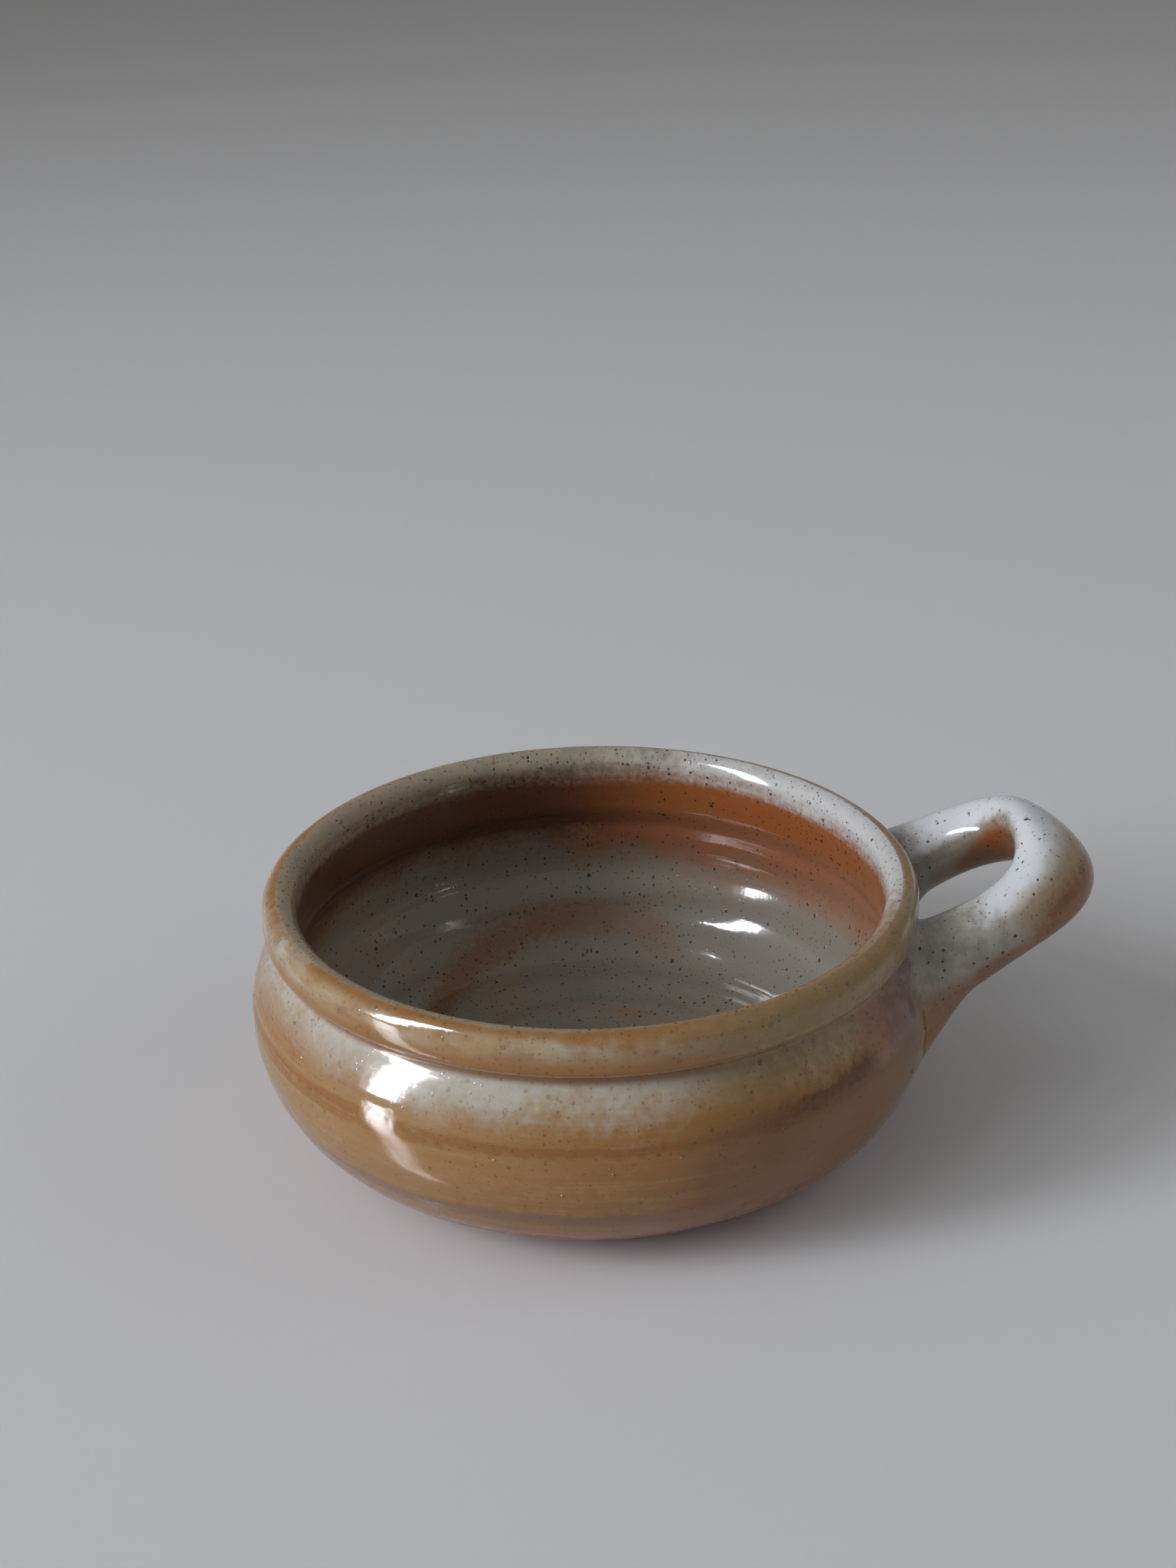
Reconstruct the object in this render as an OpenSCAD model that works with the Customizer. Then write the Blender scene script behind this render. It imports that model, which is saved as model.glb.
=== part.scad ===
// Handled stoneware ramekin: a wheel-thrown bowl with a rolled rim over a neck groove, and one
// pulled strap bent into an ear and luted to the shoulder with slip. The coats of glaze are
// shells of their own, and the foot is left bare. Millimetres, +Z up. The origin is the centre
// of the flat foot, and the ear points along +X.

/* [Bowl, over the glaze] */
// Outside diameter of the rolled rim
rim_d = 130; // [120:1:134]
// Largest diameter, at the belly
belly_d = 136.8; // [134:0.2:144]
// Height of the widest ring of the belly
belly_z = 27.9; // [25:0.1:29]
// Diameter of the flat foot
foot_d = 86; // [82:1:92]
// Height from the foot to the top of the rim
bowl_h = 52.9; // [51:0.1:56]
// Radius of the shoulder above the belly
shoulder_r = 20; // [18:0.5:22]

/* [Rim and wall] */
// Thickness of the rolled rim
rim_t = 6.6; // [6:0.1:8]
// Height of the rolled rim
rim_h = 9; // [8:0.1:10]
// Radius of the groove under the rim
groove_r = 1.5; // [1.2:0.1:2]
// Thickness of the thrown clay wall
wall_t = 5; // [4:0.1:6]
// Radius of the swelling inside the neck
neck_r = 8; // [6:0.5:10]

/* [Ear handle] */
// Half the distance between the middles of the two roots
ear_spread = 20; // [17:0.5:23]
// Radius of the strap's middle line at the far end of the loop
ear_reach = 93.8; // [88:0.1:100]
// How much the loop swells beyond a half ellipse
ear_swell = 0.33; // [0:0.01:0.5]
// Height of the strap's middle line where it enters the wall
ear_root_z = 34.4; // [32:0.1:36]
// Height of the strap's middle line at the far end of the loop
ear_crest_z = 51.3; // [46:0.1:56]
// Lean of the strap towards the bowl at the far end, in degrees
ear_lean = 50; // [0:1:60]
// Half the strap's height at the root, along the leg and at the far end
strap_up = [10.8, 7.1, 9.7]; // [6:0.1:12]
// Half the strap's thickness at the root, along the leg and at the far end
strap_out = [6.8, 6.8, 4.4]; // [4:0.1:8]
// Radius to which the root is wiped out below, beside and above
wipe_r = [11, 5, 6]; // [4:0.5:12]

/* [Slip and glaze] */
// Thickness of the slip that lutes the ear to the wall
slip_t = 0.6; // [0.4:0.1:1]
// Thickness of the coats of glaze
glaze_t = 0.4; // [0.3:0.05:0.5]
// Height of the bare margin above the foot
bare_h = 8; // [4:0.5:12]

/* [Hidden] */
$fn = 144;

clay_color = "#a4654a";
strap_color = "#b0745a";
slip_color = "#c99a7c";
liner_color = "#b9ada0";
wall_color = "#a8763f";
ear_glaze_color = "#d9d6cf";

// Steps along the longest arc of the outline, and along the short ones
long_steps = 20;
short_steps = 8;
// Rings along the strap, and points round each of them
strap_rings = 44;
strap_points = 22;
// Below 1, the strap's section is fuller than an ellipse
section_power = 0.9;
// Below 1, the legs climb fastest near the roots
rise_power = 0.9;
// Share of the way to the far end at which the strap's leg sizes are set
leg_share = 0.6;
// Share of its quarter-round over which the root is wiped out
wipe_stop = 0.95;
// Depth inside the belly at which the strap's middle line starts
root_depth = 6;
// Distance that the strap runs on inside the wall, to be cut off there
root_run = 20;

// The thrown clay under its glaze. The outline is a chain of tangent arcs, each with a centre
// in the plane of radius and height: belly below, shoulder above, groove and rim.
clay_belly = belly_d / 2 - glaze_t;
foot_r = foot_d / 2;
foot_step = clay_belly - foot_r;
lower_r = (foot_step * foot_step + belly_z * belly_z) / (2 * foot_step);
lip_r = rim_t / 2 - glaze_t;
lip_x = (rim_d - rim_t) / 2;
clay_groove = groove_r + glaze_t;
lower_c = [clay_belly - lower_r, belly_z];
shoulder_c = [clay_belly - shoulder_r, belly_z];
lip_top_c = [lip_x, bowl_h - rim_t / 2];
lip_low_c = [lip_x, bowl_h - rim_h + rim_t / 2];
groove_c = tangent_centre(shoulder_c, shoulder_r + clay_groove, lip_low_c, lip_r + clay_groove);

// The inside follows the outside at the wall's thickness, and swells inwards at the neck
inner_lower_r = lower_r - wall_t;
inner_shoulder_r = shoulder_r - wall_t;
neck_x = lip_x - lip_r + neck_r;
neck_dz = sqrt(pow(inner_shoulder_r + neck_r, 2) - pow(neck_x - shoulder_c.x, 2));
neck_c = [neck_x, belly_z + neck_dz];

// Where the strap's middle line starts, inside the wall
root_x = clay_belly - root_depth;

// Centre of the circle that touches two others, on their outer side
function tangent_centre(a, from_a, b, from_b) =
    let (gap = norm(b - a))
    let (along = (from_a * from_a - from_b * from_b + gap * gap) / (2 * gap))
    let (aside = sqrt(from_a * from_a - along * along))
    let (way = (b - a) / gap)
    a + along * way + aside * [way.y, -way.x];

// Direction of point b seen from a, in degrees
function bearing(a, b) = atan2(b.y - a.y, b.x - a.x);

// Points of an arc about c, from the first angle to the last. An arc that goes on from the one
// before leaves out its own first point.
function arc(c, r, first, last, steps, goes_on = false) = [
    for (i = [goes_on ? 1 : 0 : steps])
        let (a = first + (last - first) * i / steps)
        c + r * [cos(a), sin(a)]
];

// Outside of the clay, grown by t, from the foot to the crest of the rim
function outside(t) = concat(
    arc(lower_c, lower_r + t, bearing(lower_c, [foot_r, 0]), 0, long_steps),
    arc(shoulder_c, shoulder_r + t, 0, bearing(shoulder_c, groove_c), short_steps, true),
    arc(
        groove_c, clay_groove - t,
        bearing(groove_c, shoulder_c) + 360, bearing(groove_c, lip_low_c), short_steps, true
    ),
    arc(lip_low_c, lip_r + t, bearing(lip_low_c, groove_c), 0, short_steps, true),
    arc(lip_top_c, lip_r + t, 0, 90, short_steps)
);

// Inside of the clay, grown by t, from the crest of the rim to the middle of the floor
function inside(t) = concat(
    arc(lip_top_c, lip_r + t, 90, 180, short_steps),
    arc(neck_c, neck_r + t, 180, bearing(neck_c, shoulder_c) + 360, short_steps),
    arc(shoulder_c, inner_shoulder_r - t, bearing(shoulder_c, neck_c), 0, short_steps, true),
    arc(lower_c, inner_lower_r - t, 0, -90, long_steps, true),
    [[0, belly_z - inner_lower_r + t]]
);

function reversed(list) = [for (i = [len(list) - 1 : -1 : 0]) list[i]];

function all_but_first(list) = [for (i = [1 : len(list) - 1]) list[i]];

// Radius of the clay wall at a height between the foot and the groove
function wall_r(z) =
    let (r = z < belly_z ? lower_r : shoulder_r)
    clay_belly - r + sqrt(max(0, r * r - pow(z - belly_z, 2)));

// The strap's middle line, from the rear root at 0 degrees to the front root at 180
function strap_middle(a) = [
    root_x + (ear_reach - root_x) * sin(a),
    ear_spread * cos(a) * (1 + ear_swell * pow(sin(a), 2)),
    ear_root_z + (ear_crest_z - ear_root_z) * pow(sin(a), rise_power)
];

// Level direction away from the middle of the loop, square to the strap
function strap_outward(a) =
    let (step = 0.5)
    let (way = strap_middle(min(a + step, 180)) - strap_middle(max(a - step, 0)))
    [-way.y, way.x, 0] / norm([way.x, way.y]);

// Value that passes through three sizes: at the root, along the leg and at the far end
function strap_size(sizes, s) =
    sizes[0] * (1 - s) * (leg_share - s) / leg_share
    + sizes[1] * s * (1 - s) / (leg_share * (1 - leg_share))
    + sizes[2] * s * (s - leg_share) / (1 - leg_share);

// Distance of a point of the strap from the clay of the wall
function from_wall(p) = norm([p.x, p.y]) - wall_r(min(p.z, groove_c.y));

// Share of a quarter-round of radius r, under a coat of t, that is wiped out at a distance from
// the wall. It stops short of lying flat there.
function wiped(distance, r, t) = min(wipe_stop, max(0, r - distance) / (r - t));

// Growth of the strap at such a share
function wipe(share, r, t) = r - (r - t) * sqrt(1 - share * share);

// Change of a wiped point q that keeps it as far from the wall as p, where the wipe began
function seating(q, p) = (from_wall(p) - from_wall(q)) * [q.x, q.y, 0] / norm([q.x, q.y]);

function signed_power(x, p) = sign(x) * pow(abs(x), p);

// One ring of the strap, grown by t and wiped out where it nears the wall
function strap_ring(a, t) =
    let (s = sin(a))
    let (lean = ear_lean * s * s)
    let (outward = strap_outward(a))
    let (across = cos(lean) * outward + [0, 0, sin(lean)])
    let (along = [0, 0, cos(lean)] - sin(lean) * outward)
    let (out = strap_size(strap_out, s))
    let (up = strap_size(strap_up, s))
    [
        for (j = [0 : strap_points - 1])
            let (f = 360 * j / strap_points)
            let (aside = signed_power(cos(f), section_power) * across)
            let (upright = signed_power(sin(f), section_power) * along)
            let (p = strap_middle(a) + out * aside + up * upright)
            let (end_r = sin(f) < 0 ? wipe_r[0] : wipe_r[2])
            let (r = wipe_r[1] + (end_r - wipe_r[1]) * abs(sin(f)))
            let (share = wiped(from_wall(p), r, t))
            let (q = p + wipe(share, r, t) * (aside + upright))
            q + share / wipe_stop * seating(q, p)
    ];

// Angle of a ring, with the rings closest together near the roots
function ring_angle(i) = 90 * (1 - cos(180 * i / strap_rings));

// The strap as one closed loft, with both ends run on inside the wall
module strap(t, run) {
    sunk = [-run, 0, 0];
    rings = concat(
        [[for (p = strap_ring(0, t)) p + sunk]],
        [for (i = [0 : strap_rings]) strap_ring(ring_angle(i), t)],
        [[for (p = strap_ring(180, t)) p + sunk]]
    );
    last = len(rings) - 1;
    n = strap_points;
    skin = [
        for (i = [0 : last - 1], j = [0 : n - 1])
            let (k = (j + 1) % n)
            each [
                [i * n + j, (i + 1) * n + j, (i + 1) * n + k],
                [i * n + j, (i + 1) * n + k, i * n + k]
            ]
    ];
    ends = [
        [for (j = [0 : n - 1]) j],
        [for (j = [n - 1 : -1 : 0]) last * n + j]
    ];
    polyhedron([for (r = rings) each r], concat(skin, ends), convexity = 6);
}

// Everything within the outside of the bowl, grown by t
module bowl_solid(t) {
    rotate_extrude() polygon(concat(outside(t), [[0, bowl_h], [0, 0]]));
}

// Half of space on one side of the ear's middle plane: 1 for the rear, -1 for the front
module side_half(side) {
    size = 2 * (ear_reach + belly_d);
    translate([0, side * size / 2, 0]) cube(size, center = true);
}

// The pad of slip between one root and the wall
module luting_slip(side) {
    color(slip_color) difference() {
        intersection() {
            strap(0, root_run);
            bowl_solid(slip_t);
            side_half(side);
        }
        bowl_solid(0);
    }
}

module thrown_bowl() {
    color(clay_color) rotate_extrude()
        polygon(concat(outside(0), all_but_first(inside(0)), [[0, 0]]));
}

module pulled_handle() {
    color(strap_color) difference() {
        strap(0, root_run);
        bowl_solid(slip_t);
    }
}

module front_luting_slip() {
    luting_slip(-1);
}

module rear_luting_slip() {
    luting_slip(1);
}

// Inside coat, from the crest of the rim down over the floor
module liner_glaze() {
    color(liner_color) rotate_extrude() polygon(concat(inside(glaze_t), reversed(inside(0))));
}

// Outside coat, from the crest of the rim to the bare margin, open where the ear is luted on
module wall_glaze() {
    color(wall_color) difference() {
        rotate_extrude() intersection() {
            polygon(concat(outside(glaze_t), reversed(outside(0))));
            translate([0, bare_h]) square([belly_d, bowl_h]);
        }
        strap(glaze_t, root_run);
    }
}

// Coat round the strap, down to the clay of the wall
module handle_glaze() {
    color(ear_glaze_color) difference() {
        strap(glaze_t, root_run / 2);
        strap(0, root_run);
        bowl_solid(0);
    }
}

thrown_bowl();
pulled_handle();
front_luting_slip();
rear_luting_slip();
liner_glaze();
wall_glaze();
handle_glaze();
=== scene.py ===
"""A handled stoneware ramekin: glazes, bare clay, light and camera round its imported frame.

Lengths are metres, and MM turns a millimetre into metres. Every piece stands where the frame
has it: +Z up, the origin at the middle of the foot, the ear along +X. The finishes work in
millimetres of the same frame, and bearings are degrees round +Z from +X.
"""

import logging
import math
from dataclasses import dataclass, field, fields, replace
from enum import Enum
from typing import Callable, Dict, Iterable, List, Optional, Tuple, Union

import bmesh
import bpy
from mathutils import Matrix, Vector


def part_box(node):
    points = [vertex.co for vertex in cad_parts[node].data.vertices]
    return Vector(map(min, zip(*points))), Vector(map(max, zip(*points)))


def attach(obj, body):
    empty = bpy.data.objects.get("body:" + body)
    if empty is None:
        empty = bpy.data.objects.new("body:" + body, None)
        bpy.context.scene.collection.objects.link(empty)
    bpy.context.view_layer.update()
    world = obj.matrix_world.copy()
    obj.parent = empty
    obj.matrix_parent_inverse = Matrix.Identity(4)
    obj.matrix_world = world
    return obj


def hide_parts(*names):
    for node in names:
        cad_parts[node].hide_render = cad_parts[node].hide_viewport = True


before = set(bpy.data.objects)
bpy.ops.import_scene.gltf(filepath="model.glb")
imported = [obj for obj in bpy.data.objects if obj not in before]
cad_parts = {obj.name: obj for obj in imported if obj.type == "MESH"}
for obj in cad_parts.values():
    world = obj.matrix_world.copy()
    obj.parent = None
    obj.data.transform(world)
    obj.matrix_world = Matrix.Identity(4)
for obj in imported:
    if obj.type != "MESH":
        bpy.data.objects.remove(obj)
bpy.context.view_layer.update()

MM = 0.001
TAU = 2 * math.pi
BODY = "root"
log = logging.getLogger("ramekin")


class Tint(Enum):
    """Colours of the fired surfaces and of the stage, in linear light."""

    CREAM = (0.46, 0.385, 0.265)
    CHALK = (0.52, 0.50, 0.45)
    MILK = (0.74, 0.765, 0.81)
    STONE = (0.25, 0.23, 0.195)
    TAN = (0.40, 0.26, 0.13)
    OCHRE = (0.32, 0.15, 0.045)
    RUST = (0.23, 0.085, 0.024)
    EMBER = (0.30, 0.09, 0.023)
    SALMON = (0.34, 0.135, 0.072)
    MAROON = (0.075, 0.023, 0.011)
    UMBER = (0.11, 0.052, 0.026)
    BROWN = (0.253, 0.129, 0.0504)
    PLUM = (0.185, 0.105, 0.098)
    ROSE = (0.33, 0.145, 0.11)
    OLIVE = (0.24, 0.175, 0.09)
    CLAY = (0.40, 0.165, 0.11)
    SLIP = (0.46, 0.27, 0.19)
    IRON = (0.028, 0.019, 0.015)
    TABLE = (0.715, 0.72, 0.745)
    ROOM = (0.82, 0.80, 0.765)
    DAY = (0.93, 0.965, 1.0)

    @property
    def rgba(self) -> Tuple[float, float, float, float]:
        """The colour with full opacity."""
        return (*self.value, 1.0)


class Tree:
    """The nodes of one material or one geometry group, written as Python expressions."""

    def __init__(self, nodes: bpy.types.NodeTree) -> None:
        """Starts on a node tree.

        Args:
            nodes: the tree that the new nodes go into.
        """
        self.nodes = nodes

    def node(
        self,
        kind: str,
        settings: Optional[Dict[str, object]] = None,
        inputs: Optional[Dict[Union[str, int], object]] = None,
    ) -> bpy.types.Node:
        """Adds any node.

        Args:
            kind: the node's type.
            settings: its properties, which are set first.
            inputs: values or terms for its sockets, by name or by place.

        Returns:
            The new node.
        """
        made = self.nodes.nodes.new(kind)
        for name, value in (settings or {}).items():
            setattr(made, name, value)
        for key, value in (inputs or {}).items():
            self.feed(made.inputs[key], value)
        return made

    def feed(self, socket: bpy.types.NodeSocket, value: object) -> None:
        """Links a term to a socket, or sets the socket's own value.

        Args:
            socket: the socket to feed.
            value: a term, a tint, or a plain value.
        """
        if isinstance(value, Term):
            self.nodes.links.new(value.socket, socket)
        elif isinstance(value, Tint):
            socket.default_value = value.rgba
        else:
            socket.default_value = value

    def term(
        self,
        output: Union[str, int],
        kind: str,
        settings: Optional[Dict[str, object]] = None,
        inputs: Optional[Dict[Union[str, int], object]] = None,
    ) -> "Term":
        """Adds a node and wraps one of its outputs.

        Args:
            output: the output's name or place.
            kind: the node's type.
            settings: its properties.
            inputs: values or terms for its sockets.

        Returns:
            The wrapped output.
        """
        return Term(self, self.node(kind, settings, inputs).outputs[output])

    def math(self, operation: str, *values: "Value") -> "Term":
        """Adds one Math node on numbers and returns its result."""
        return self.term(0, "ShaderNodeMath", {"operation": operation}, dict(enumerate(values)))

    def vector(self, operation: str, *values: object) -> "Term":
        """Adds one Vector Math node and returns its vector."""
        inputs = dict(enumerate(values))
        return self.term("Vector", "ShaderNodeVectorMath", {"operation": operation}, inputs)

    def combine(self, x: "Value", y: "Value", z: "Value") -> "Term":
        """Makes a vector of three numbers."""
        return self.term("Vector", "ShaderNodeCombineXYZ", None, {"X": x, "Y": y, "Z": z})


@dataclass(frozen=True)
class Term:
    """A node's output that takes part in Python arithmetic."""

    tree: Tree
    socket: bpy.types.NodeSocket

    def __add__(self, other: "Value") -> "Term":
        """self + other."""
        return self.tree.math("ADD", self, other)

    __radd__ = __add__

    def __sub__(self, other: "Value") -> "Term":
        """self - other."""
        return self.tree.math("SUBTRACT", self, other)

    def __rsub__(self, other: "Value") -> "Term":
        """other - self."""
        return self.tree.math("SUBTRACT", other, self)

    def __mul__(self, other: "Value") -> "Term":
        """self * other."""
        return self.tree.math("MULTIPLY", self, other)

    __rmul__ = __mul__

    def __truediv__(self, other: "Value") -> "Term":
        """self / other."""
        return self.tree.math("DIVIDE", self, other)

    def __abs__(self) -> "Term":
        """The size of the number without its sign."""
        return self.tree.math("ABSOLUTE", self)

    def wave(self) -> "Term":
        """The sine of the number, in radians."""
        return self.tree.math("SINE", self)

    def cosine(self) -> "Term":
        """The cosine of the number, in radians."""
        return self.tree.math("COSINE", self)

    def root(self) -> "Term":
        """The square root of the number."""
        return self.tree.math("SQRT", self)

    def step(self, none: "Value", full: "Value") -> "Term":
        """A smooth change from 0 to 1.

        Args:
            none: the number at which the result is 0.
            full: the number at which it is 1, above or below the other.

        Returns:
            The share, from 0 to 1.
        """
        settings = {"interpolation_type": "SMOOTHSTEP"}
        inputs = {"Value": self, "From Min": none, "From Max": full}
        return self.tree.term("Result", "ShaderNodeMapRange", settings, inputs)


Value = Union[float, Term]
Paint = Union[Tint, Term]
Three = Tuple[float, float, float]
Sizes = Dict[str, Union[int, float]]


class Surface(Tree):
    """A material's nodes, with the places, bearings and grains that the finishes share."""

    def __init__(self, name: str) -> None:
        """Starts an empty material.

        Args:
            name: the material's name.
        """
        self.material = bpy.data.materials.new(name)
        self.material.use_nodes = True
        self.material.node_tree.nodes.clear()
        super().__init__(self.material.node_tree)
        self.coords = self.node("ShaderNodeTexCoord")
        scale = {0: Term(self, self.coords.outputs["Object"]), "Scale": 1 / MM}
        self.place = self.term("Vector", "ShaderNodeVectorMath", {"operation": "SCALE"}, scale)
        parts = self.node("ShaderNodeSeparateXYZ", None, {"Vector": self.place})
        self.x, self.y, self.z = (Term(self, part) for part in parts.outputs)
        self.r = (self.x * self.x + self.y * self.y).root()
        self.shaken = self.vector("ADD", self.place, self.combine(*(self.grain(1.1) * 0.25,) * 3))

    def facing(self, bearing: float) -> Term:
        """How far a place lies towards a bearing: 1 there, 0 a quarter turn away."""
        turn = math.radians(bearing)
        return (self.x * math.cos(turn) + self.y * math.sin(turn)) / self.r

    def grain(self, *per_mm: float, detail: float = 2.0, at: Optional[Term] = None) -> Term:
        """Noise about zero, mostly within half a unit.

        Args:
            per_mm: cells per millimetre, once for all axes or for each of them.
            detail: octaves of finer noise.
            at: the place to read it at, which is the surface's own if left out.

        Returns:
            The noise.
        """
        scale = per_mm * 3 if len(per_mm) == 1 else per_mm
        where = self.vector("MULTIPLY", at or self.place, scale)
        inputs = {"Vector": where, "Scale": 1.0, "Detail": detail, "Roughness": 0.55}
        return (self.term("Fac", "ShaderNodeTexNoise", None, inputs) - 0.5) * 2.6

    def ring(self, height: Term, middle: float, half: float) -> Term:
        """A soft band round the pot.

        Args:
            height: the height that is tested, in millimetres.
            middle: the band's middle height.
            half: half the band's height.

        Returns:
            1 in the middle of the band and 0 outside it.
        """
        return abs(height - middle).step(half, 0.25 * half)

    def near(self, spot: Three, reach: float, rough: Value = 0.0) -> Term:
        """A soft patch about a place.

        Args:
            spot: the middle of the patch, in millimetres.
            reach: the distance at which it ends.
            rough: a distance added to make its edge uneven.

        Returns:
            1 in the middle of the patch and 0 outside it.
        """
        settings = {"operation": "DISTANCE"}
        inputs = {0: self.place, 1: spot}
        away = self.term("Value", "ShaderNodeVectorMath", settings, inputs)
        return (away + rough).step(reach, 0.35 * reach)

    def specks(self, cell: float, largest: float, share: float) -> Term:
        """Round grains of different sizes scattered through the glaze.

        Args:
            cell: the spacing of the grains, in millimetres.
            largest: the radius of the largest.
            share: the share of the cells that hold a grain.

        Returns:
            1 on a grain and 0 beside it.
        """
        inputs = {"Vector": self.shaken, "Scale": 1 / cell, "Randomness": 1.0}
        cells = self.node("ShaderNodeTexVoronoi", {"feature": "F1"}, inputs)
        picked = self.node("ShaderNodeSeparateColor", None, {0: Term(self, cells.outputs["Color"])})
        size = (Term(self, picked.outputs[0]) - (1 - share)) / share * largest
        away = Term(self, cells.outputs["Distance"]) * cell
        return ((size - away) / (0.16 * largest)).step(0.0, 1.0)

    def washed(self, ground: Paint, *washes: Tuple[Paint, Value]) -> Paint:
        """Lays colours over one another.

        Args:
            ground: the colour below.
            washes: each further colour with how much of it shows, from the lowest to the top.

        Returns:
            The mixed colour.
        """
        for paint, share in washes:
            inputs = {0: share, 6: ground, 7: paint}
            ground = self.term(2, "ShaderNodeMix", {"data_type": "RGBA"}, inputs)
        return ground

    def skin(
        self, colour: Paint, roughness: Value, relief: Optional[Term] = None, **fixed: float
    ) -> Term:
        """Makes a shader.

        Args:
            colour: the base colour.
            roughness: the roughness.
            relief: fine relief, in millimetres.
            fixed: values of other sockets, with spaces in their names as underscores.

        Returns:
            The shader.
        """
        inputs = {"Base Color": colour, "Roughness": roughness}
        inputs.update({name.replace("_", " "): value for name, value in fixed.items()})
        if relief is not None:
            bump = {"Strength": 1.0, "Distance": MM, "Height": relief}
            inputs["Normal"] = self.term("Normal", "ShaderNodeBump", None, bump)
        return self.term("BSDF", "ShaderNodeBsdfPrincipled", None, inputs)

    def fire(self, skin: Term) -> bpy.types.Material:
        """Closes the material with a shader and returns it."""
        self.node("ShaderNodeOutputMaterial", None, {"Surface": skin})
        return self.material


@dataclass(frozen=True)
class Coat:
    """What a glaze shows at each place: its colour, and the grains that stand in it."""

    colour: Paint
    grains: Term


@dataclass(frozen=True)
class Glaze:
    """What the three glazes share: their gloss, their iron and their skin."""

    gloss: float = 0.11
    dust_gap: float = 0.75
    sand_gap: float = 1.1
    grit_gap: float = 3.3

    def peppered(self, s: Surface, colour: Paint, share: Value = 1.0) -> Coat:
        """Scatters iron through a glaze, from dust to coarse grains.

        Args:
            s: the material.
            colour: the colour of the glaze.
            share: how much of the iron shows.

        Returns:
            The colour and the grains.
        """
        patchy = s.grain(1 / 14).step(-1.0, 0.5)
        dust = s.specks(self.dust_gap, 0.26, 0.6) * patchy * share
        sand = s.specks(self.sand_gap, 0.36, 0.65) * share
        grit = s.specks(self.grit_gap, 0.58, 0.5) * share
        iron = ((Tint.IRON, dust * 0.7), (Tint.IRON, sand * 0.88), (Tint.IRON, grit * 0.92))
        return Coat(s.washed(colour, *iron), sand + grit)

    def lip(self, s: Surface) -> Paint:
        """Colours the rim's crest, where the inside and the outside glaze meet.

        Args:
            s: the material.

        Returns:
            The colour.
        """
        spots = s.grain(1 / 8) * 0.6 + s.grain(0.5, detail=4.0) * 0.7
        warm = (s.facing(-160) * 0.6 + spots).step(-0.4, 1.1)
        # The crest is painted whiter on the right, where it faces the window: partly its own white
        # glaze, partly painted light.
        white = (s.facing(16) + spots * 0.25).step(0.35, 0.97)
        return s.washed(
            Tint.STONE,
            (Tint.CREAM, spots.step(-1.2, 1.2) * 0.75),
            (Tint.TAN, warm * 0.5),
            (Tint.MILK, white * 0.62),
            (Tint.OCHRE, self.burnt(s) * 0.8),
            (Tint.UMBER, s.specks(1.3, 0.5, 0.6) * (0.5 - white * 0.3)),
        )

    def burnt(self, s: Surface) -> Term:
        """How far the rim's crest has burnt to ochre, which it has in front of the ear."""
        return (s.facing(-58) + s.grain(0.3, detail=4.0) * 0.2).step(0.68, 0.95)

    def wiped(self, s: Surface) -> Paint:
        """Colours the ear's roots and the wall about them, where the slip was wiped.

        Args:
            s: the material.

        Returns:
            The colour.
        """
        cloud, mottle = s.grain(1 / 13), s.grain(0.45, detail=5.0)
        return s.washed(
            Tint.STONE,
            (Tint.CHALK, (mottle * 0.7 + cloud * 0.5).step(-0.7, 1.0) * 0.8),
            (Tint.ROSE, (cloud + mottle * 0.5).step(0.1, 1.0) * 0.3),
            (Tint.OLIVE, (mottle - cloud).step(0.0, 1.0) * 0.3),
        )

    def smudged(self, s: Surface, colour: Paint) -> Paint:
        """Lays the mauve smudges in front of the ear's root, on the wall and on the ear.

        Args:
            s: the material.
            colour: the colour so far.

        Returns:
            The colour with the smudges.
        """
        rough = s.grain(0.4, detail=4.0) * 4.0 + s.grain(1 / 13) * 3.0
        largest = 11.0
        for tint, spot, reach in (
            (Tint.ROSE, (50, -45, 40), 10.0),
            (Tint.PLUM, (56, -38, 37.5), largest),
            (Tint.PLUM, (56.6, -27.8, 41.6), 3.4),
            (Tint.MAROON, (57.2, -34.4, 35.9), 2.2),
        ):
            smudge = s.near(spot, reach, rough * (reach / largest))
            colour = s.washed(colour, (tint, smudge * 0.75))
        return colour

    def seal(self, s: Surface, coat: Coat) -> bpy.types.Material:
        """Closes the material with a glossy skin.

        Args:
            s: the material.
            coat: the colour and the grains.

        Returns:
            The material.
        """
        lines = s.grain(0.02, 0.02, 0.6) * 0.02
        relief = lines + s.grain(0.3) * 0.018 + s.grain(1.3) * 0.003 + coat.grains * 0.02
        roughness = s.grain(1 / 9) * 0.04 + self.gloss + coat.grains * 0.1
        return s.fire(s.skin(coat.colour, roughness, relief))


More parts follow.
